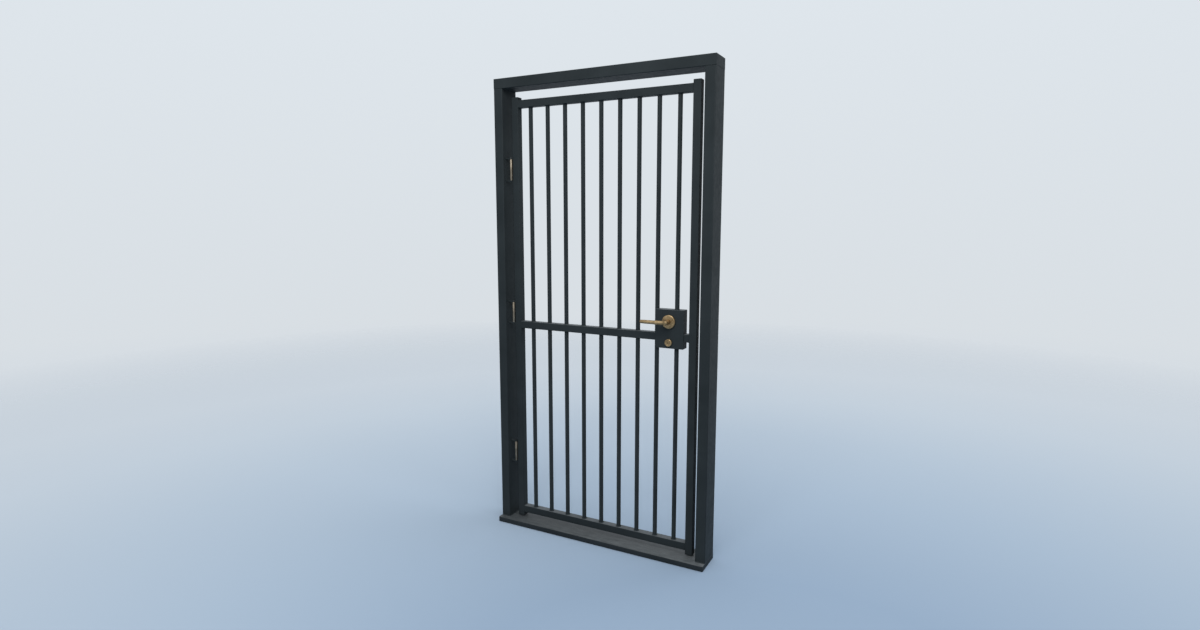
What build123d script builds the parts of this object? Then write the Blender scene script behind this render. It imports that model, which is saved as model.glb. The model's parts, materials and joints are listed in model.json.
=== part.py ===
from build123d import *
import os

# Security grille gate: a tubular steel door frame with one barred leaf.
# Millimetres. X runs across the doorway, from the hinge side to the lock side,
# Y runs inwards through it, and Z is up. The origin is under the sill, midway
# between the jambs and midway through their depth. The outside is at -Y.

# Frame
FRAME_WIDTH = 1048.0
FRAME_HEIGHT = 2100.0
FRAME_DEPTH = 110.0
JAMB_FACE = 45.0
HEAD_FACE = 45.0
FRAME_WALL = 3.0
FRAME_CORNER = 3.0
SILL_HEIGHT = 24.0
SILL_NOSE = 29.0
SILL_WALL = 3.0
SILL_CORNER = 3.0

# Leaf
HINGE_SIDE_GAP = 31.4
LOCK_SIDE_GAP = 24.0
SILL_GAP = 5.2
HEAD_GAP = 38.0
LEAF_SETBACK = 30.0
LEAF_TUBE = 33.0
LEAF_WALL = 2.5
LEAF_CORNER = 2.0
TOP_RAIL_DROP = 14.0
RAIL_BELOW_LEVER = 66.0
BOTTOM_RAIL_LIFT = 18.0

# Bars, the first and the last set at the same distance from their stiles
BAR_COUNT = 9
BAR_RADIUS = 9.6
BAR_SIDE_GAP = 59.1

# End plates, set into the tubes and flush with their ends
CAP_THICKNESS = 3.0

# Hinges
HINGE_HEIGHTS = {"bottom": 355.0, "middle": 1037.0, "top": 1696.0}
BARREL_RADIUS = 6.0
BARREL_LENGTH = 95.0
PIN_RADIUS = 3.5
PIN_SIDE_OFFSET = 5.4
PIN_FRONT_OFFSET = 4.0
PIN_HEAD_RADIUS = 5.5
PIN_HEAD_HEIGHT = 3.0
LUG_THICKNESS = 5.0
WING_THICKNESS = 3.0
WING_WIDTH = 24.0

# Lock case
CASE_WIDTH = 127.0
CASE_ABOVE_LEVER = 51.0
CASE_BELOW_LEVER = 113.5
CASE_PROUD = 4.0
CASE_WALL = 2.5
CASE_CORNER = 2.0
CASE_STILE_GAP = 22.4

# Roses, set off the middle of the case to the hinge side, and the neck that turns in each
LEVER_HEIGHT = 1045.0
FURNITURE_OFFSET = 1.5
ROSE_RADIUS = 29.5
ROSE_THICKNESS = 10.0
NECK_RADIUS = 10.0

# Lever outside
LEVER_STANDOFF = 40.0
LEVER_CROWN = 10.0
ARM_LENGTH = 115.0
ARM_RADIUS = 7.0
ARM_TAPER = 20.0
ARM_TIP_RADIUS = 4.5
COLLAR_LENGTH = 50.0
COLLAR_RADIUS = 8.5

# Knob inside
KNOB_RADIUS = 25.0
KNOB_NECK = 26.0
KNOB_REACH = 50.0

# Spindle
SPINDLE_SIDE = 8.0
SPINDLE_GRIP = 22.0

# Key entry
KEY_DROP = 89.0
ESCUTCHEON_RADIUS = 16.0
ESCUTCHEON_THICKNESS = 9.0
KEYWAY_WIDTH = 2.0
KEYWAY_HEIGHT = 8.0

# Clearances
RUN_CLEARANCE = 0.05
END_PLAY = 0.3
SLIP = 0.3

# Places worked out from the sizes above
FRONT = -FRAME_DEPTH / 2
JAMB_INSIDE = FRAME_WIDTH / 2 - JAMB_FACE
SILL_TOP = SILL_HEIGHT
HEAD_UNDERSIDE = FRAME_HEIGHT - HEAD_FACE

LEAF_LEFT = -JAMB_INSIDE + HINGE_SIDE_GAP
LEAF_RIGHT = JAMB_INSIDE - LOCK_SIDE_GAP
LEAF_FRONT = FRONT + LEAF_SETBACK
LEAF_MIDDLE = LEAF_FRONT + LEAF_TUBE / 2
LEAF_BACK = LEAF_FRONT + LEAF_TUBE
LEAF_BOTTOM = SILL_TOP + SILL_GAP
LEAF_TOP = HEAD_UNDERSIDE - HEAD_GAP
RAIL_LEFT = LEAF_LEFT + LEAF_TUBE
RAIL_RIGHT = LEAF_RIGHT - LEAF_TUBE
TOP_RAIL_CENTRE = LEAF_TOP - TOP_RAIL_DROP - LEAF_TUBE / 2
MIDDLE_RAIL_CENTRE = LEVER_HEIGHT - RAIL_BELOW_LEVER
BOTTOM_RAIL_CENTRE = LEAF_BOTTOM + BOTTOM_RAIL_LIFT + LEAF_TUBE / 2

FIRST_BAR = RAIL_LEFT + BAR_SIDE_GAP
LAST_BAR = RAIL_RIGHT - BAR_SIDE_GAP
BAR_PITCH = (LAST_BAR - FIRST_BAR) / (BAR_COUNT - 1)

PIN_X = LEAF_LEFT - PIN_SIDE_OFFSET
PIN_Y = LEAF_FRONT - PIN_FRONT_OFFSET

CASE_RIGHT = RAIL_RIGHT - CASE_STILE_GAP
CASE_LEFT = CASE_RIGHT - CASE_WIDTH
CASE_FRONT = LEAF_FRONT - CASE_PROUD
CASE_BACK = LEAF_BACK + CASE_PROUD
CASE_BOTTOM = LEVER_HEIGHT - CASE_BELOW_LEVER
CASE_TOP = LEVER_HEIGHT + CASE_ABOVE_LEVER
CASE_HEIGHT = CASE_TOP - CASE_BOTTOM
CASE_MIDDLE = (CASE_BOTTOM + CASE_TOP) / 2
COVER_FRONT = CASE_BACK - CASE_WALL
CASE_CENTRE = (CASE_LEFT + CASE_RIGHT) / 2
LEVER_X = CASE_CENTRE - FURNITURE_OFFSET
KEY_HEIGHT = LEVER_HEIGHT - KEY_DROP


def ring(width, depth, wall, corner):
    """The section of a rectangular tube, rounded outside and sharp inside."""
    return RectangleRounded(width, depth, corner) - Rectangle(width - 2 * wall, depth - 2 * wall)


def upright(section, x, y, low, high):
    """A flat section drawn out along Z, from one height to another."""
    return extrude(Plane(origin=(x, y, low)) * section, high - low)


def crosswise(section, y, z, left, right):
    """A flat section, depth by height, drawn out along X."""
    start = Plane(origin=(left, y, z), x_dir=(0, 1, 0), z_dir=(1, 0, 0))
    return extrude(start * section, right - left)


def through_wall(section, x, z, front, back):
    """A flat section, width by height, drawn out along Y."""
    start = Plane(origin=(x, front, z), x_dir=(-1, 0, 0), z_dir=(0, 1, 0))
    return extrude(start * section, back - front)


def jamb(side):
    section = ring(JAMB_FACE, FRAME_DEPTH, FRAME_WALL, FRAME_CORNER)
    return upright(section, side * (JAMB_INSIDE + JAMB_FACE / 2), 0, SILL_TOP, HEAD_UNDERSIDE)


def frame_tube(depth, height, wall, corner, y, z):
    """A tube across the whole frame."""
    end = FRAME_WIDTH / 2
    return crosswise(ring(depth, height, wall, corner), y, z, -end, end)


def frame_caps(depth, height, wall, y, z):
    """The two plates that close the ends of a tube across the frame."""
    plate = Rectangle(depth - 2 * wall, height - 2 * wall)
    end = FRAME_WIDTH / 2
    left_cap = crosswise(plate, y, z, -end, -end + CAP_THICKNESS)
    right_cap = crosswise(plate, y, z, end - CAP_THICKNESS, end)
    return Compound([left_cap, right_cap])


def head():
    """The tube over the doorway, and its end plates."""
    place = (0, FRAME_HEIGHT - HEAD_FACE / 2)
    tube = frame_tube(FRAME_DEPTH, HEAD_FACE, FRAME_WALL, FRAME_CORNER, *place)
    return tube, frame_caps(FRAME_DEPTH, HEAD_FACE, FRAME_WALL, *place)


def sill():
    """The low tube under the doorway, with its nose to the outside, and its end plates."""
    depth = FRAME_DEPTH + SILL_NOSE
    place = (-SILL_NOSE / 2, SILL_HEIGHT / 2)
    tube = frame_tube(depth, SILL_HEIGHT, SILL_WALL, SILL_CORNER, *place)
    return tube, frame_caps(depth, SILL_HEIGHT, SILL_WALL, *place)


def stile_centres():
    return LEAF_LEFT + LEAF_TUBE / 2, LEAF_RIGHT - LEAF_TUBE / 2


def stile(centre):
    section = ring(LEAF_TUBE, LEAF_TUBE, LEAF_WALL, LEAF_CORNER)
    return upright(section, centre, LEAF_MIDDLE, LEAF_BOTTOM, LEAF_TOP)


def stile_caps():
    """The plates that close both stiles at the foot and at the top."""
    side = LEAF_TUBE - 2 * LEAF_WALL
    plate = Rectangle(side, side)
    caps = []
    for centre in stile_centres():
        for low in (LEAF_BOTTOM, LEAF_TOP - CAP_THICKNESS):
            caps.append(upright(plate, centre, LEAF_MIDDLE, low, low + CAP_THICKNESS))
    return Compound(caps)


def rail(height):
    section = ring(LEAF_TUBE, LEAF_TUBE, LEAF_WALL, LEAF_CORNER)
    return crosswise(section, LEAF_MIDDLE, height, RAIL_LEFT, RAIL_RIGHT)


def bar_centres():
    return [FIRST_BAR + BAR_PITCH * index for index in range(BAR_COUNT)]


def bar(centre, slip=0.0):
    """One round bar from the bottom rail to the top rail."""
    low = BOTTOM_RAIL_CENTRE + LEAF_TUBE / 2
    high = TOP_RAIL_CENTRE - LEAF_TUBE / 2
    return upright(Circle(BAR_RADIUS + slip), centre, LEAF_MIDDLE, low, high)


def punched_rail():
    """The middle rail, with a hole through it for each bar."""
    tube = rail(MIDDLE_RAIL_CENTRE)
    for centre in bar_centres():
        tube -= bar(centre, SLIP)
    return tube


def hinge_lugs(height):
    """Two plates on the jamb, one above the barrel and one below it."""
    reach = Rectangle(PIN_X + JAMB_INSIDE, 2 * BARREL_RADIUS, align=(Align.MAX, Align.CENTER))
    outline = reach + Circle(BARREL_RADIUS) - Circle(PIN_RADIUS + RUN_CLEARANCE)
    half = BARREL_LENGTH / 2 + END_PLAY
    lugs = []
    for low in (height + half, height - half - LUG_THICKNESS):
        lugs.append(upright(outline, PIN_X, PIN_Y, low, low + LUG_THICKNESS))
    return Compound(lugs)


def hinge_pin(height):
    """A headed pin, whose head rests on the upper lug."""
    half = BARREL_LENGTH / 2 + END_PLAY + LUG_THICKNESS
    shank = upright(Circle(PIN_RADIUS), PIN_X, PIN_Y, height - half, height + half)
    top = height + half + PIN_HEAD_HEIGHT
    return shank + upright(Circle(PIN_HEAD_RADIUS), PIN_X, PIN_Y, height + half, top)


def hinge_barrel(height):
    """The turning barrel, with a wing that lies on the side of the stile."""
    wing = Rectangle(WING_THICKNESS, WING_WIDTH, align=(Align.MAX, Align.MIN))
    outline = Circle(BARREL_RADIUS) + Pos(PIN_SIDE_OFFSET, 0) * wing
    outline -= Circle(PIN_RADIUS + RUN_CLEARANCE)
    half = BARREL_LENGTH / 2
    stock = upright(outline, PIN_X, PIN_Y, height - half, height + half)
    return stock - hinge_stile_space()


def hinge_stile_space():
    """The space of the hinge stile, rounded corners included."""
    plate = RectangleRounded(LEAF_TUBE, LEAF_TUBE, LEAF_CORNER)
    return upright(plate, stile_centres()[0], LEAF_MIDDLE, LEAF_BOTTOM, LEAF_TOP)


def spindle_hole():
    """The round hole in which the corners of the spindle turn."""
    radius = SPINDLE_SIDE / 2 * 2 ** 0.5 + SLIP
    return through_wall(Circle(radius), LEVER_X, LEVER_HEIGHT, CASE_FRONT, CASE_BACK)


def keyway():
    """The narrow upright slot that the key goes into."""
    return Rectangle(KEYWAY_WIDTH, KEYWAY_HEIGHT)


def key_passage():
    return through_wall(keyway(), LEVER_X, KEY_HEIGHT, CASE_FRONT, CASE_BACK)


def lock_case():
    """The folded case, open at the back and notched over the bars and the rail."""
    outside = RectangleRounded(CASE_WIDTH, CASE_HEIGHT, CASE_CORNER)
    case = through_wall(outside, CASE_CENTRE, CASE_MIDDLE, CASE_FRONT, COVER_FRONT)
    room = Rectangle(CASE_WIDTH - 2 * CASE_WALL, CASE_HEIGHT - 2 * CASE_WALL)
    case -= through_wall(room, CASE_CENTRE, CASE_MIDDLE, CASE_FRONT + CASE_WALL, COVER_FRONT)
    notch = Rectangle(LEAF_TUBE + 2 * SLIP, LEAF_TUBE + 2 * SLIP)
    case -= crosswise(notch, LEAF_MIDDLE, MIDDLE_RAIL_CENTRE, CASE_LEFT, CASE_RIGHT)
    for centre in bar_centres():
        case -= bar(centre, SLIP)
    return case - spindle_hole() - key_passage()


def lock_cover():
    """The plate that closes the case at the back."""
    plate = RectangleRounded(CASE_WIDTH, CASE_HEIGHT, CASE_CORNER)
    cover = through_wall(plate, CASE_CENTRE, CASE_MIDDLE, COVER_FRONT, CASE_BACK)
    return cover - spindle_hole() - key_passage()


def to_the_inside(shape):
    """The same piece on the other face of the leaf."""
    return mirror(shape, about=Plane(origin=(0, LEAF_MIDDLE, 0), z_dir=(0, 1, 0)))


def rose():
    """A round plate, bored for the neck that turns in it."""
    outline = Circle(ROSE_RADIUS) - Circle(NECK_RADIUS + RUN_CLEARANCE)
    return through_wall(outline, LEVER_X, LEVER_HEIGHT, CASE_FRONT - ROSE_THICKNESS, CASE_FRONT)


def escutcheon():
    """The round plate about the key's entry."""
    front = CASE_FRONT - ESCUTCHEON_THICKNESS
    outline = Circle(ESCUTCHEON_RADIUS) - keyway()
    return through_wall(outline, LEVER_X, KEY_HEIGHT, front, CASE_FRONT)


def turned(points, origin, direction):
    """A round piece from points of (distance along the axis, radius)."""
    profile = make_face(Polyline(*points, close=True))
    place = Plane(origin=origin, x_dir=direction, z_dir=(0, 0, 1))
    return place * revolve(profile, Axis.X)


def spindle_socket():
    """The square hole in which the end of the spindle sits."""
    side = SPINDLE_SIDE + 2 * RUN_CLEARANCE
    return through_wall(Rectangle(side, side), LEVER_X, LEVER_HEIGHT, CASE_FRONT - SPINDLE_GRIP, CASE_FRONT)


def lever():
    """A neck out of the rose and a round arm, thicker at its root, that points at the hinge side."""
    front = CASE_FRONT - LEVER_STANDOFF - LEVER_CROWN
    neck = through_wall(Circle(NECK_RADIUS), LEVER_X, LEVER_HEIGHT, front, CASE_FRONT - END_PLAY)
    points = [
        (0, 0),
        (0, COLLAR_RADIUS),
        (COLLAR_LENGTH, COLLAR_RADIUS),
        (COLLAR_LENGTH, ARM_RADIUS),
        (ARM_LENGTH - ARM_TAPER, ARM_RADIUS),
        (ARM_LENGTH, ARM_TIP_RADIUS),
        (ARM_LENGTH, 0),
    ]
    arm = turned(points, (LEVER_X, CASE_FRONT - LEVER_STANDOFF, LEVER_HEIGHT), (-1, 0, 0))
    return neck + arm - spindle_socket()


def knob():
    """A round knob on a neck."""
    points = [
        (END_PLAY, 0),
        (END_PLAY, NECK_RADIUS),
        (KNOB_NECK, NECK_RADIUS),
        (KNOB_NECK, KNOB_RADIUS),
        (KNOB_REACH, KNOB_RADIUS),
        (KNOB_REACH, 0),
    ]
    return turned(points, (LEVER_X, CASE_FRONT, LEVER_HEIGHT), (0, -1, 0)) - spindle_socket()


def spindle():
    """The square bar that joins the lever and the knob through the case."""
    square = Rectangle(SPINDLE_SIDE, SPINDLE_SIDE)
    return through_wall(square, LEVER_X, LEVER_HEIGHT, CASE_FRONT - SPINDLE_GRIP, CASE_BACK + SPINDLE_GRIP)


def nodes():
    """Every piece of the gate, by the name of its node."""
    pieces = {"jamb_hinge_side": jamb(-1), "jamb_lock_side": jamb(1)}
    pieces["head"], pieces["head_caps"] = head()
    pieces["sill"], pieces["sill_caps"] = sill()
    pieces["stile_hinge_side"] = stile(stile_centres()[0])
    pieces["stile_lock_side"] = stile(stile_centres()[1])
    pieces["stile_caps"] = stile_caps()
    pieces["rail_top"] = rail(TOP_RAIL_CENTRE)
    pieces["rail_middle"] = punched_rail()
    pieces["rail_bottom"] = rail(BOTTOM_RAIL_CENTRE)
    for index, centre in enumerate(bar_centres(), start=1):
        pieces[f"bar_{index}"] = bar(centre)
    for place, height in HINGE_HEIGHTS.items():
        pieces[f"hinge_lugs_{place}"] = hinge_lugs(height)
        pieces[f"hinge_pin_{place}"] = hinge_pin(height)
        pieces[f"hinge_barrel_{place}"] = hinge_barrel(height)
    pieces["lock_case"] = lock_case()
    pieces["lock_cover"] = lock_cover()
    pieces["rose_outside"] = rose()
    pieces["rose_inside"] = to_the_inside(rose())
    pieces["escutcheon_outside"] = escutcheon()
    pieces["escutcheon_inside"] = to_the_inside(escutcheon())
    pieces["lever_outside"] = lever()
    pieces["knob_inside"] = to_the_inside(knob())
    pieces["spindle"] = spindle()
    return pieces


os.makedirs("parts", exist_ok=True)
for name, piece in nodes().items():
    export_step(piece, f"parts/{name}.step")
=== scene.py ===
import bpy
import bmesh
import json
import math
import random
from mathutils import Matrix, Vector


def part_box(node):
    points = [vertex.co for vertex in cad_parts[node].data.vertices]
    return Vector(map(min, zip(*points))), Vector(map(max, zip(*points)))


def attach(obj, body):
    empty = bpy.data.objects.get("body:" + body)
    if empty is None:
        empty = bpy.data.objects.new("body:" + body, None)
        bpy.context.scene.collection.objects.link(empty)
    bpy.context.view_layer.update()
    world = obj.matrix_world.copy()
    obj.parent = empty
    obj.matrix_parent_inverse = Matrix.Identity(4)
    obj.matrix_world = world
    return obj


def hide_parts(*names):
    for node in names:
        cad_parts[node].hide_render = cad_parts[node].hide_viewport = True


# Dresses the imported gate: a finish for every node, welds, screws, and finer brass over the plain
# solids. Metres. X runs from the hinge side to the lock side, Y inwards and Z up.

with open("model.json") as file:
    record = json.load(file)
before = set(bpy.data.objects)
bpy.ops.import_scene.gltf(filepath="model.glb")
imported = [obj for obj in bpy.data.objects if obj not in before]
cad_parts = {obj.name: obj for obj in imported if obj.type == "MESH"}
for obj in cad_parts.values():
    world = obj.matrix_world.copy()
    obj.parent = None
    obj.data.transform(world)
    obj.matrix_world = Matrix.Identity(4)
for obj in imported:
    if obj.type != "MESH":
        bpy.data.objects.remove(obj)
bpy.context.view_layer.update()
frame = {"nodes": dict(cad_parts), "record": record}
nodes = frame["nodes"]

# Places of the rails and hinges, and the sides of the lock with their directions along Y
PLACES = ("bottom", "middle", "top")
SIDES = (("outside", -1), ("inside", 1))

# Camera, from the fit to the photograph, in metres and degrees
CAMERA_PLACE = (1.3799, -2.6282, 1.4656)
CAMERA_TURN = 27.824
CAMERA_TILT = -8.0
CAMERA_LENS = 20.174
SENSOR_WIDTH = 36.0

# Lamps: name, place, target, side of the square and power
LAMPS = (
    ("key", (0.9, -2.5, 3.7), (0.3, 0, 1.8), 2.2, 82.0),
    ("top", (1.2, 0.3, 4.6), (0.2, 0, 0.5), 3.0, 60.0),
)

# Colours, in linear light
PAINT_DARK = (0.0205, 0.0258, 0.0276)
PAINT_LIGHT = (0.0270, 0.0335, 0.0356)
# The sill's dark coat, darkened as painted shade
SHADED_DARK = (0.0090, 0.0120, 0.0130)
SHADED_LIGHT = (0.0150, 0.0190, 0.0205)
# The sill's grey top: wear, and a painted reflection of the sky
WORN_AND_SHEEN_DARK = (0.064, 0.073, 0.076)
WORN_AND_SHEEN_LIGHT = (0.150, 0.163, 0.167)
# Grey of the dust on upward faces, which also stands for painted light from above
DUST_AND_TOP_LIGHT = (0.145, 0.157, 0.165)
BRASS_DARK = (0.17, 0.115, 0.055)
BRASS_LIGHT = (0.44, 0.31, 0.165)
BARREL_DARK = (0.135, 0.115, 0.090)
BARREL_LIGHT = (0.36, 0.30, 0.225)
PIN_DARK = (0.030, 0.032, 0.033)
PIN_LIGHT = (0.070, 0.072, 0.073)
STEEL_DARK = (0.16, 0.16, 0.16)
STEEL_LIGHT = (0.34, 0.34, 0.33)

# Colour stops: the floor's by distance from its darkest point, where its painted shade is deepest,
# the others by height
FLOOR = (
    (0.0, (0.270, 0.354, 0.456)), (0.25, (0.378, 0.464, 0.554)), (0.50, (0.490, 0.569, 0.642)),
    (0.75, (0.613, 0.679, 0.730)), (1.0, (0.700, 0.750, 0.785)),
)
BACKDROP = (
    (0.0, (0.340, 0.450, 0.585)), (0.22, (0.560, 0.640, 0.730)), (0.40, (0.690, 0.735, 0.775)),
    (0.88, (0.737, 0.791, 0.840)),
)
AMBIENT = ((0.0, (0.10, 0.12, 0.15)), (0.5, (0.22, 0.24, 0.27)), (1.0, (0.66, 0.70, 0.76)))
SKY_LOWEST = -0.5
SKY_HIGHEST = 0.4

# Floor
FLOOR_RADIUS = 14.0
FLOOR_DROP = 0.0005
# The floor's painted shade is deepest here and pales with distance
FLOOR_SHADE_CENTRE = (1.0, -1.0, 0.0)
FLOOR_TONES = (1.0, 5.0)
FLOOR_FADE = (2.0, 7.0)

# Paint and metal
PAINT_ROUGH = (0.48, 0.60)
# How much dust and painted top light the upward faces get
PAINT_DUST_AND_TOP_LIGHT = 0.8
CLEAN_DUST_AND_TOP_LIGHT = 0.1
GRAIN_DEPTH = 0.0002
METAL_GRAIN_DEPTH = 0.0001

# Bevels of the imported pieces, by the first word of their names
EDGES = {
    "jamb": 0.0007, "head": 0.0007, "sill": 0.0007, "stile": 0.0006, "rail": 0.0006,
    "lock": 0.0008, "hinge": 0.0005,
}
EDGE_ANGLE = 50
JOIN_DISTANCE = 0.00001

# Welds: the leg of each kind, and how the beads are laid
BAR_WELD = 0.0030
RAIL_WELD = 0.0020
SEAM_WELD = 0.0028
LUG_WELD = 0.0022
RIPPLE = 0.0022
RIPPLE_POINTS = 4
BEAD_SINK = 0.0002
COLLAR_SINK = 0.0003
RAIL_SEAM_INSET = 0.002
JAMB_SEAM_INSET = 0.003
WING_SEAM_INSET = 0.004
END_PLAY = 0.0003

# Screws
SCREW_HEAD = 0.0038
SCREW_RISE = 0.0021
SCREW_KEY = 0.0025
SCREW_INSET = 0.0095
SCREW_SINK = 0.0004
ROSE_SCREW_PLACE = 0.66
ROSE_SCREW_SINK = 0.0006

# Brass
ROSE_BORE = 0.01005
ROSE_EDGE = 0.0022
PLUG_SHARE = 0.52
GUARD_EDGE = 0.0022
GUARD_ROUND = 0.0012
KEYWAY = (0.002, 0.008)
KEYWAY_RIM = 0.0006
KNOB_ROUND = 0.0040
NECK_RADIUS = 0.0100
ARM_INSET = 0.0100
ARM_DROP = 0.0006
STEM_ROUND = 0.0020
ARM_ROUND = 0.0025
MELT = 0.0006
TURNED_STEPS = 128


def box(node):
    """The lowest and highest corner of a node."""
    low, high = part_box(node)
    return Vector(low), Vector(high)


def middle(node):
    """The middle of a node's box, and half its size."""
    low, high = box(node)
    return (low + high) / 2, (high - low) / 2


def material(name):
    """A new node material and its Principled shader."""
    made = bpy.data.materials.new(name)
    made.use_nodes = True
    tree = made.node_tree
    return made, tree, tree.nodes["Principled BSDF"]


def add(tree, kind, **values):
    """A new node, with its inputs and settings given by name."""
    node = tree.nodes.new(kind)
    for key, value in values.items():
        if key in node.inputs:
            node.inputs[key].default_value = value
        else:
            setattr(node, key, value)
    return node


def object_place(tree):
    return add(tree, "ShaderNodeTexCoord").outputs["Object"]


def noise(tree, place, scale, detail=4.0, roughness=0.55):
    node = add(tree, "ShaderNodeTexNoise", Scale=scale, Detail=detail, Roughness=roughness)
    tree.links.new(place, node.inputs["Vector"])
    return node.outputs["Fac"]


def ramp(tree, factor, *stops):
    """Colours or greys along a factor, each stop a position and a colour."""
    node = add(tree, "ShaderNodeValToRGB")
    elements = node.color_ramp.elements
    while len(elements) < len(stops):
        elements.new(0.5)
    for element, (position, colour) in zip(elements, stops):
        element.position = position
        if not isinstance(colour, tuple):
            colour = (colour, colour, colour)
        element.color = (*colour, 1.0)
    tree.links.new(factor, node.inputs["Fac"])
    return node.outputs["Color"]


def bump(tree, shader, height, distance, strength):
    node = add(tree, "ShaderNodeBump", Strength=strength, Distance=distance)
    tree.links.new(height, node.inputs["Height"])
    tree.links.new(node.outputs["Normal"], shader.inputs["Normal"])


def stretched(tree, value, lowest, highest, start=0.0, end=1.0):
    """A value from lowest to highest, carried over to start to end and held there."""
    node = add(tree, "ShaderNodeMapRange")
    sockets = ("From Min", "From Max", "To Min", "To Max")
    for socket, bound in zip(sockets, (lowest, highest, start, end)):
        node.inputs[socket].default_value = bound
    tree.links.new(value, node.inputs["Value"])
    return node.outputs["Result"]


def part_of(tree, vector, axis):
    """One of the three values of a vector."""
    split = add(tree, "ShaderNodeSeparateXYZ")
    tree.links.new(vector, split.inputs["Vector"])
    return split.outputs[axis]


def upward(tree, lowest, highest):
    """How far a surface faces up, from 0 on a wall to 1 on a level top."""
    normal = add(tree, "ShaderNodeNewGeometry").outputs["Normal"]
    return stretched(tree, part_of(tree, normal, "Z"), lowest, highest)


def times(tree, first, second):
    """The product of two values, each a number or an output."""
    node = add(tree, "ShaderNodeMath", operation="MULTIPLY")
    for value, socket in zip((first, second), node.inputs):
        if isinstance(value, float):
            socket.default_value = value
        else:
            tree.links.new(value, socket)
    return node.outputs["Value"]


def blended(tree, factor, under, over):
    """One colour over another, by a factor."""
    node = add(tree, "ShaderNodeMix", data_type="RGBA")
    tree.links.new(factor, node.inputs[0])
    for value, socket in ((under, node.inputs[6]), (over, node.inputs[7])):
        if isinstance(value, tuple):
            socket.default_value = (*value, 1.0)
        else:
            tree.links.new(value, socket)
    return node.outputs[2]


def paint(name, dust_and_top_light):
    """Satin powder coat: cloudy tone, fine orange peel, and dust in specks on what looks up, a
    lighter grey that also paints the light from above onto the tops.
    """
    made, tree, shader = material(name)
    shader.inputs["Specular IOR Level"].default_value = 0.07
    place = object_place(tree)
    cloud = noise(tree, place, scale=6.0, detail=5.0)
    tone = ramp(tree, cloud, (0.35, PAINT_DARK), (0.65, PAINT_LIGHT))
    fine = noise(tree, place, scale=110.0, detail=8.0, roughness=0.7)
    specks = ramp(tree, fine, (0.36, 0.70), (0.64, 1.0))
    wide = noise(tree, place, scale=9.0, detail=4.0, roughness=0.6)
    drift = ramp(tree, wide, (0.3, 0.5), (0.7, 1.0))
    # Upward faces paler in specks: dust, and painted light from above
    level = times(tree, upward(tree, 0.55, 0.95), dust_and_top_light)
    amount = times(tree, level, times(tree, specks, drift))
    tree.links.new(blended(tree, amount, tone, DUST_AND_TOP_LIGHT), shader.inputs["Base Color"])
    grain = noise(tree, place, scale=60.0, detail=3.0)
    rough = ramp(tree, grain, (0.3, PAINT_ROUGH[0]), (0.7, PAINT_ROUGH[1]))
    tree.links.new(rough, shader.inputs["Roughness"])
    peel = noise(tree, place, scale=420.0, detail=2.0)
    bump(tree, shader, peel, GRAIN_DEPTH, strength=0.35)
    return made


def worn_paint_with_painted_light(name):
    """The sill's coat: dark as painted shade, with a grey top that is partly trodden wear and
    partly a painted reflection of the sky, specks, and fine scratches along the doorway.
    """
    made, tree, shader = material(name)
    shader.inputs["Specular IOR Level"].default_value = 0.3
    place = object_place(tree)
    cloud = noise(tree, place, scale=6.0, detail=5.0)
    # Dark coat: painted shade
    coat = ramp(tree, cloud, (0.35, SHADED_DARK), (0.65, SHADED_LIGHT))
    lengthwise = add(tree, "ShaderNodeMapping", Scale=(1.0, 6.0, 6.0))
    tree.links.new(place, lengthwise.inputs["Vector"])
    tread = noise(tree, lengthwise.outputs["Vector"], scale=14.0, detail=10.0, roughness=0.72)
    # Grey top: wear and a painted reflection of the sky
    worn_and_sheen = ramp(tree, tread, (0.36, WORN_AND_SHEEN_DARK), (0.64, WORN_AND_SHEEN_LIGHT))
    fine = noise(tree, place, scale=240.0, detail=6.0, roughness=0.7)
    specks = ramp(tree, fine, (0.42, 0.75), (0.58, 1.0))
    # Paler towards the lock side, as in the photograph: painted light, the sky's reflection
    # brighter on that side
    sheen_towards_lock_side = stretched(tree, part_of(tree, place, "X"), -0.5, 0.4, 0.58, 1.0)
    amount = times(tree, times(tree, upward(tree, 0.6, 0.97), sheen_towards_lock_side), specks)
    tree.links.new(blended(tree, amount, coat, worn_and_sheen), shader.inputs["Base Color"])
    rough = ramp(tree, tread, (0.3, 0.42), (0.7, 0.6))
    tree.links.new(rough, shader.inputs["Roughness"])
    bump(tree, shader, tread, GRAIN_DEPTH, strength=0.5)
    return made


def metal(name, dark, light, smoothest, roughest, metallic=1.0):
    """Turned and polished metal, a little uneven and tarnished."""
    made, tree, shader = material(name)
    shader.inputs["Metallic"].default_value = metallic
    place = object_place(tree)
    cloud = noise(tree, place, scale=45.0, detail=6.0, roughness=0.65)
    tree.links.new(ramp(tree, cloud, (0.3, dark), (0.62, light)), shader.inputs["Base Color"])
    grain = noise(tree, place, scale=260.0, detail=4.0)
    rough = ramp(tree, grain, (0.3, smoothest), (0.7, roughest))
    tree.links.new(rough, shader.inputs["Roughness"])
    bump(tree, shader, grain, METAL_GRAIN_DEPTH, strength=0.3)
    return made


FINISHES = {
    "frame_paint": paint("frame_paint_coat", PAINT_DUST_AND_TOP_LIGHT),
    "leaf_paint": paint("leaf_paint_coat", PAINT_DUST_AND_TOP_LIGHT),
    "brass": metal("satin_brass", BRASS_DARK, BRASS_LIGHT, 0.34, 0.48, metallic=0.90),
    "pin_steel": metal("drawn_steel", STEEL_DARK, STEEL_LIGHT, 0.32, 0.5),
}
LUG_FINISH = paint("lug_paint_clean", CLEAN_DUST_AND_TOP_LIGHT)
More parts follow.
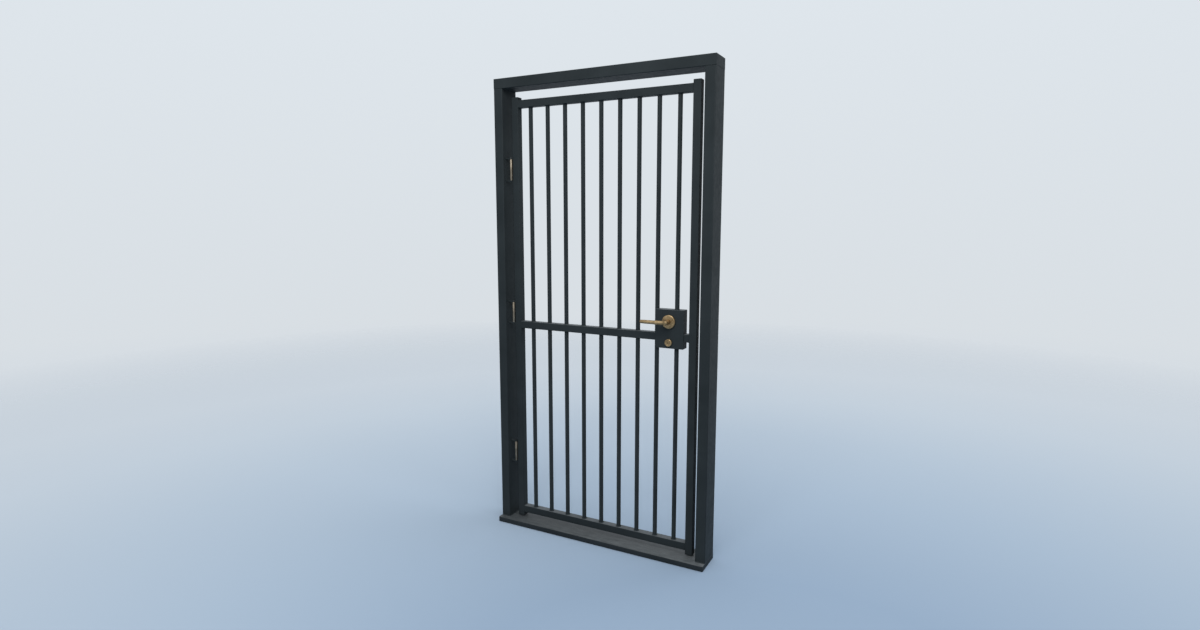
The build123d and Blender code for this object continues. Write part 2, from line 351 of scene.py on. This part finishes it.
# Nodes whose finish isn't their slot's, by their names without a place
OWN_FINISHES = {
    "sill": worn_paint_with_painted_light("sill_paint_worn_and_sheen"),
    "hinge_barrel": metal("barrel_brass_dull", BARREL_DARK, BARREL_LIGHT, 0.34, 0.5),
    "hinge_pin": metal("pin_steel_oiled", PIN_DARK, PIN_LIGHT, 0.40, 0.55),
    "hinge_lugs": LUG_FINISH,
}


def soften(node, width):
    """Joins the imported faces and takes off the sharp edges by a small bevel."""
    weld = node.modifiers.new("join", "WELD")
    weld.merge_threshold = JOIN_DISTANCE
    edge = node.modifiers.new("edge", "BEVEL")
    edge.width = width
    edge.segments = 2
    edge.limit_method = "ANGLE"
    edge.angle_limit = math.radians(EDGE_ANGLE)


def dress_nodes():
    """Every carried-over piece gets its finish, and the plate and tube edges a small round."""
    for entry in frame["record"]["subparts"]:
        name = entry["node"]
        family = name
        for place in PLACES:
            family = family.removesuffix("_" + place)
        mesh = nodes[name].data
        mesh.materials.clear()
        mesh.materials.append(OWN_FINISHES.get(family, FINISHES[entry["material_slot"]]))
        width = EDGES.get(name.split("_")[0])
        # The punched rail keeps its sharp edges
        if width and name != "rail_middle":
            soften(nodes[name], width)


def piece(name, mesh, body, slot):
    """A finished mesh as a smooth piece that rides on a body."""
    bmesh.ops.recalc_face_normals(mesh, faces=mesh.faces)
    data = bpy.data.meshes.new(name)
    mesh.to_mesh(data)
    mesh.free()
    data.polygons.foreach_set("use_smooth", [True] * len(data.polygons))
    data.materials.append(LUG_FINISH if name.startswith("welds") else FINISHES[slot])
    made = bpy.data.objects.new(name, data)
    bpy.context.scene.collection.objects.link(made)
    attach(made, body)
    return made


def rounded(points, radius, steps=5):
    """The same line with its corners rounded."""
    made = [Vector(points[0])]
    for before, corner, after in zip(points, points[1:], points[2:]):
        before, corner, after = Vector(before), Vector(corner), Vector(after)
        back, on = before - corner, after - corner
        start = corner + back.normalized() * min(radius, back.length * 0.49)
        end = corner + on.normalized() * min(radius, on.length * 0.49)
        for step in range(steps + 1):
            t = step / steps
            made.append(start * (1 - t) ** 2 + corner * 2 * t * (1 - t) + end * t ** 2)
    made.append(Vector(points[-1]))
    return made


def circle(radius):
    """A round shape, as a radius at each angle."""
    return lambda angle: radius


def slot_shape(width, height):
    """An upright slot, as a radius at each angle."""
    def radius(angle):
        across, up = abs(math.cos(angle)), abs(math.sin(angle))
        return min(width / 2 / max(across, 1e-6), height / 2 / max(up, 1e-6))
    return radius


def hexagon(flats):
    """A six-sided hole, as a radius at each angle."""
    sixth = math.pi / 3
    return lambda angle: flats / 2 / math.cos((angle + sixth / 2) % sixth - sixth / 2)


def bridge(mesh, first, second):
    """Faces between two closed loops of the same number of points."""
    for index in range(len(first)):
        after = (index + 1) % len(first)
        mesh.faces.new((first[index], first[after], second[after], second[index]))


def turned(mesh, rings, origin, axis, closed=False, segments=96):
    """Adds a turned shape. Each ring is a distance along the axis and its shape about it."""
    axis = Vector(axis)
    across = Vector((0, 0, 1)) if abs(axis.x) > 0.5 else Vector((1, 0, 0))
    upright = axis.cross(across)
    loops = []
    for along, shape in rings:
        loop = []
        for index in range(segments):
            angle = math.tau * (index + 0.5) / segments
            arm = across * math.cos(angle) + upright * math.sin(angle)
            loop.append(mesh.verts.new(Vector(origin) + axis * along + arm * shape(angle)))
        loops.append(loop)
    pairs = list(zip(loops, loops[1:]))
    if closed:
        pairs.append((loops[-1], loops[0]))
    for first, second in pairs:
        bridge(mesh, first, second)
    bmesh.ops.remove_doubles(mesh, verts=mesh.verts, dist=0.0000005)


def profile(points, radius, steps=5):
    """Rings of a round shape from corners of (distance along the axis, radius)."""
    return [(point.x, circle(point.y)) for point in rounded(points, radius, steps)]


def seam(mesh, start, end, side, up, leg, chance):
    """A fillet weld in the corner between two faces, laid in small overlapping ripples."""
    start, end, side, up = Vector(start), Vector(end), Vector(side), Vector(up)
    steps = max(8, round((end - start).length / RIPPLE * RIPPLE_POINTS))
    loops = []
    for step in range(steps + 1):
        t = step / steps
        fade = min(1.0, 0.35 + min(t, 1 - t) * steps / RIPPLE_POINTS)
        ripple = 0.10 * math.sin(math.tau * step / RIPPLE_POINTS)
        size = leg * fade * (1 + ripple + chance.uniform(-0.04, 0.04))
        corner = start.lerp(end, t)
        section = (
            corner - (side + up) * BEAD_SINK,
            corner + side * size - up * BEAD_SINK,
            corner + side * size * 0.68 + up * size * 0.34,
            corner + side * size * 0.34 + up * size * 0.68,
            corner + up * size - side * BEAD_SINK,
        )
        loops.append([mesh.verts.new(point) for point in section])
    for first, second in zip(loops, loops[1:]):
        bridge(mesh, first, second)
    mesh.faces.new(loops[0])
    mesh.faces.new(loops[-1])


def collar_weld(mesh, centre, radius, direction, leg, chance, segments=56):
    """A fillet weld round a bar where it meets a rail."""
    loops = []
    for index in range(segments):
        angle = math.tau * index / segments
        arm = Vector((math.cos(angle), math.sin(angle), 0))
        size = leg * (1 + 0.09 * math.sin(angle * 14) + chance.uniform(-0.05, 0.05))
        section = (
            (radius - COLLAR_SINK, -BEAD_SINK),
            (radius + size, -BEAD_SINK),
            (radius + size * 0.64, size * 0.36),
            (radius + size * 0.34, size * 0.68),
            (radius - COLLAR_SINK, size),
        )
        loops.append([
            mesh.verts.new(Vector(centre) + arm * out + Vector((0, 0, direction * rise)))
            for out, rise in section
        ])
    for first, second in zip(loops, loops[1:] + loops[:1]):
        bridge(mesh, first, second)


def leaf_welds():
    """Welds of the bars to the rails, and of the rails to the stiles."""
    chance = random.Random(4)
    mesh = bmesh.new()
    rails = [box("rail_" + place) for place in PLACES]
    bottom, crossing, top = rails
    case_low, case_high = box("lock_case")
    for centre, half in [middle(name) for name in nodes if name.startswith("bar_")]:
        radius = half.x
        ends = [(bottom[1].z, 1, BAR_WELD), (top[0].z, -1, BAR_WELD)]
        # Inside the case, bars and middle rail have no welds that would show
        if not case_low.x - radius < centre.x < case_high.x + radius:
            ends += [(crossing[1].z, 1, RAIL_WELD), (crossing[0].z, -1, RAIL_WELD)]
        for z, direction, leg in ends:
            collar_weld(mesh, (centre.x, centre.y, z), radius, direction, leg, chance)
    for low, high in rails:
        front, back = low.y + RAIL_SEAM_INSET, high.y - RAIL_SEAM_INSET
        for x, side in ((low.x, 1), (high.x, -1)):
            for z, up in ((high.z, 1), (low.z, -1)):
                seam(mesh, (x, front, z), (x, back, z), (side, 0, 0), (0, 0, up), SEAM_WELD, chance)
    piece("welds_leaf", mesh, "leaf", "leaf_paint")


def frame_welds():
    """Welds of the jambs to the sill and the head."""
    chance = random.Random(5)
    mesh = bmesh.new()
    inset = JAMB_SEAM_INSET
    for name, inwards in (("jamb_hinge_side", 1), ("jamb_lock_side", -1)):
        low, high = box(name)
        x = high.x if inwards > 0 else low.x
        for z, up in ((low.z, 1), (high.z, -1)):
            seam(mesh, (x, low.y + inset, z), (x, high.y - inset, z), (inwards, 0, 0), (0, 0, up),
                 SEAM_WELD, chance)
        seam(mesh, (low.x + inset, low.y, low.z), (high.x - inset, low.y, low.z), (0, -1, 0),
             (0, 0, 1), SEAM_WELD, chance)
    piece("welds_frame", mesh, "frame", "frame_paint")


def hinge_welds():
    """Welds of the lugs to the jamb, and of the barrels' wings to the stile."""
    chance = random.Random(6)
    lugs, wings = bmesh.new(), bmesh.new()
    jamb = box("jamb_hinge_side")[1].x
    stile = box("stile_hinge_side")[0].x
    for place in PLACES:
        low, high = box("hinge_lugs_" + place)
        barrel_low, barrel_high = box("hinge_barrel_" + place)
        lower_lug = ((low.z, -1), (barrel_low.z - END_PLAY, 1))
        upper_lug = ((barrel_high.z + END_PLAY, -1), (high.z, 1))
        for z, up in lower_lug + upper_lug:
            seam(lugs, (jamb, low.y, z), (jamb, high.y, z), (1, 0, 0), (0, 0, up), LUG_WELD, chance)
        foot = (stile, barrel_high.y, barrel_low.z + WING_SEAM_INSET)
        head = (stile, barrel_high.y, barrel_high.z - WING_SEAM_INSET)
        seam(wings, foot, head, (0, 1, 0), (-1, 0, 0), LUG_WELD, chance)
    piece("welds_lugs", lugs, "frame", "frame_paint")
    piece("welds_wings", wings, "leaf", "leaf_paint")


def screw(mesh, origin):
    """A button-head screw with a hexagon socket, its head to the inner side."""
    dome = [
        (SCREW_RISE * math.sin(angle), circle(SCREW_HEAD * math.cos(angle)))
        for angle in (0.0, 0.2, 0.4, 0.6, 0.8, 1.0)
    ]
    rim, floor = SCREW_RISE * 0.93, SCREW_RISE * 0.25
    foot = [(-SCREW_SINK, circle(0.0)), (-SCREW_SINK, circle(SCREW_HEAD - 0.0003))]
    socket = [
        (rim, circle(SCREW_KEY * 0.62)), (rim, hexagon(SCREW_KEY)),
        (floor, hexagon(SCREW_KEY)), (floor, circle(0.0)),
    ]
    turned(mesh, foot + dome + socket, origin, (0, 1, 0), segments=48)


def cover_screws():
    """The four screws that hold the cover to the case, on the inner side."""
    low, high = box("lock_cover")
    mesh = bmesh.new()
    for x in (low.x + SCREW_INSET, high.x - SCREW_INSET):
        for z in (low.z + SCREW_INSET, high.z - SCREW_INSET):
            screw(mesh, (x, high.y, z))
    piece("cover_screws", mesh, "leaf", "pin_steel")


def rose_screws():
    """The two screws through the inner rose."""
    centre, half = middle("rose_inside")
    mesh = bmesh.new()
    for side in (-1, 1):
        x = centre.x + side * half.x * ROSE_SCREW_PLACE
        screw(mesh, (x, centre.y + half.y - ROSE_SCREW_SINK, centre.z))
    piece("rose_screws", mesh, "leaf", "pin_steel")


def plate(node, direction, rings, closed=False):
    """A turned plate on the case, in place of the plain solid. Its rings start at the case."""
    centre, half = middle(node)
    mesh = bmesh.new()
    origin = (centre.x, centre.y - direction * half.y, centre.z)
    turned(mesh, rings, origin, (0, direction, 0), closed, TURNED_STEPS)
    made = piece(node + "_turned", mesh, "leaf", "brass")
    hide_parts(node)


def make_rose(node, direction):
    """A pressed rose: rounded rim, shallow dish and a raised lip round the neck."""
    half = middle(node)[1]
    deep, radius = half.y * 2, half.x
    points = [
        (0.0, ROSE_BORE), (0.0, radius),
        (deep * 0.66, radius), (deep * 0.86, radius - ROSE_EDGE), (deep * 0.90, radius - 0.0060),
        (deep * 0.97, ROSE_BORE + 0.0040), (deep, ROSE_BORE + 0.0022), (deep, ROSE_BORE),
        (0.0, ROSE_BORE),
    ]
    plate(node, direction, profile(points, ROSE_EDGE))


def make_escutcheon(node, direction):
    """A round cylinder guard with the turning plug and its keyway in the middle."""
    half = middle(node)[1]
    deep, radius = half.y * 2, half.x
    plug = radius * PLUG_SHARE
    guard = [
        (0.0, plug), (0.0, radius),
        (deep * 0.80, radius), (deep * 0.98, radius - GUARD_EDGE),
        (deep * 0.98, plug + 0.0012), (deep * 0.86, plug + 0.0004), (deep * 0.86, plug),
    ]
    width, height = KEYWAY
    key = slot_shape(width, height)
    face = [
        (deep * 0.99, circle(plug - 0.0002)), (deep, circle(plug - 0.0006)),
        (deep, circle(plug * 0.75)), (deep, slot_shape(width + KEYWAY_RIM, height + KEYWAY_RIM)),
        (deep * 0.95, key), (0.0, key),
    ]
    plate(node, direction, profile(guard, GUARD_ROUND) + face, closed=True)


def make_knob():
    """The inner knob, with a waisted neck and a softly domed face."""
    low, high = box("knob_inside")
    centre = (low + high) / 2
    reach = high.y - low.y
    points = [
        (0.0, 0.0), (0.0, NECK_RADIUS), (0.008, 0.0098), (0.017, 0.0080), (0.0262, 0.0100),
        (0.0285, 0.0205), (0.0330, 0.0246), (0.0410, 0.0250), (0.0462, 0.0232),
        (reach - 0.0012, 0.0170), (reach, 0.0085), (reach, 0.0),
    ]
    mesh = bmesh.new()
    rings = profile(points, KNOB_ROUND, 8)
    turned(mesh, rings, (centre.x, low.y, centre.z), (0, 1, 0), segments=TURNED_STEPS)
    made = piece("knob_turned", mesh, "lever", "brass")
    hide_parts("knob_inside")


def make_lever():
    """The cast lever: arm and neck melted together, with a collar at the root and a tapered end."""
    low, high = box("lever_outside")
    pivot = high.x - NECK_RADIUS
    height = (low.z + high.z) / 2
    length = pivot - low.x
    reach = high.y - low.y
    stem = [
        (0.0, 0.0), (0.0, NECK_RADIUS), (reach - 0.0100, 0.0097), (reach - 0.0030, 0.0094),
        (reach, 0.0068), (reach, 0.0),
    ]
    arm = [
        (-0.0099, 0.0), (-0.0096, 0.0080), (-0.0020, 0.0093), (0.014, 0.0090), (0.048, 0.0090),
        (0.0505, 0.0081), (length - 0.022, 0.0081), (length - 0.0030, 0.0073), (length, 0.0054),
        (length, 0.0),
    ]
    arm_root = (pivot, low.y + ARM_INSET, height - ARM_DROP)
    mesh = bmesh.new()
    turned(mesh, profile(stem, STEM_ROUND), (pivot, high.y, height), (0, -1, 0), segments=64)
    turned(mesh, profile(arm, ARM_ROUND), arm_root, (-1, 0, 0), segments=64)
    made = piece("lever_cast", mesh, "lever", "brass")
    melt = made.modifiers.new("melt", "REMESH")
    melt.mode = "VOXEL"
    melt.voxel_size = MELT
    melt.use_smooth_shade = True
    ease = made.modifiers.new("ease", "SMOOTH")
    ease.factor = 0.5
    ease.iterations = 3
    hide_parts("lever_outside")


def make_floor():
    """A wide pale floor that fades into the backdrop far from the gate, with painted shade
    darkening it towards a point in front of the gate beyond its lock side.
    """
    bpy.ops.mesh.primitive_circle_add(
        vertices=96, radius=FLOOR_RADIUS, fill_type="NGON", location=(0, 0, -FLOOR_DROP))
    floor = bpy.context.object
    floor.name = "floor"
    made, tree, shader = material("floor_pale")
    shader.inputs["Roughness"].default_value = 0.9
    shader.inputs["Specular IOR Level"].default_value = 0.1
    place = object_place(tree)
    away = add(tree, "ShaderNodeVectorMath", operation="DISTANCE")
    away.inputs[1].default_value = FLOOR_SHADE_CENTRE
    tree.links.new(place, away.inputs[0])
    tone = ramp(tree, stretched(tree, away.outputs["Value"], *FLOOR_TONES), *FLOOR)
    tree.links.new(tone, shader.inputs["Base Color"])
    length = add(tree, "ShaderNodeVectorMath", operation="LENGTH")
    tree.links.new(place, length.inputs[0])
    clear = add(tree, "ShaderNodeBsdfTransparent")
    mix = add(tree, "ShaderNodeMixShader")
    tree.links.new(stretched(tree, length.outputs["Value"], *FLOOR_FADE), mix.inputs["Fac"])
    tree.links.new(shader.outputs["BSDF"], mix.inputs[1])
    tree.links.new(clear.outputs["BSDF"], mix.inputs[2])
    tree.links.new(mix.outputs["Shader"], tree.nodes["Material Output"].inputs["Surface"])
    floor.data.materials.append(made)


def height_ramp(tree, stops):
    """Colours by how far a direction points up, from well below level to well above it."""
    direction = add(tree, "ShaderNodeTexCoord").outputs["Generated"]
    height = stretched(tree, part_of(tree, direction, "Z"), SKY_LOWEST, SKY_HIGHEST)
    return ramp(tree, height, *stops)


def make_world():
    """The backdrop that the camera and the metal see, over a dimmer light from the sides."""
    world = bpy.data.worlds.new("studio")
    world.use_nodes = True
    bpy.context.scene.world = world
    tree = world.node_tree
    path = add(tree, "ShaderNodeLightPath")
    seen = path.outputs["Is Camera Ray"]
    for kind in ("Is Glossy Ray", "Is Transmission Ray"):
        both = add(tree, "ShaderNodeMath", operation="MAXIMUM")
        tree.links.new(seen, both.inputs[0])
        tree.links.new(path.outputs[kind], both.inputs[1])
        seen = both.outputs["Value"]
    colour = blended(tree, seen, height_ramp(tree, AMBIENT), height_ramp(tree, BACKDROP))
    tree.links.new(colour, tree.nodes["Background"].inputs["Color"])


def make_lights():
    """Soft square lamps, each turned to its target."""
    for name, place, target, side, power in LAMPS:
        data = bpy.data.lights.new(name, "AREA")
        data.shape = "RECTANGLE"
        data.size = data.size_y = side
        data.energy = power
        lamp = bpy.data.objects.new(name, data)
        lamp.location = place
        aim = Vector(target) - Vector(place)
        lamp.rotation_euler = aim.to_track_quat("-Z", "Y").to_euler()
        bpy.context.scene.collection.objects.link(lamp)


def make_camera():
    """The photograph's camera."""
    data = bpy.data.cameras.new("photograph")
    data.sensor_width = SENSOR_WIDTH
    data.lens = CAMERA_LENS
    camera = bpy.data.objects.new("photograph", data)
    camera.location = CAMERA_PLACE
    camera.rotation_euler = (math.radians(90 + CAMERA_TILT), 0, math.radians(CAMERA_TURN))
    bpy.context.scene.collection.objects.link(camera)
    bpy.context.scene.camera = camera


dress_nodes()
leaf_welds()
frame_welds()
hinge_welds()
cover_screws()
rose_screws()
for side, direction in SIDES:
    make_rose("rose_" + side, direction)
for side, direction in SIDES:
    make_escutcheon("escutcheon_" + side, direction)
make_knob()
make_lever()
make_floor()
make_world()
make_lights()
make_camera()
bpy.context.scene.view_settings.view_transform = "Standard"
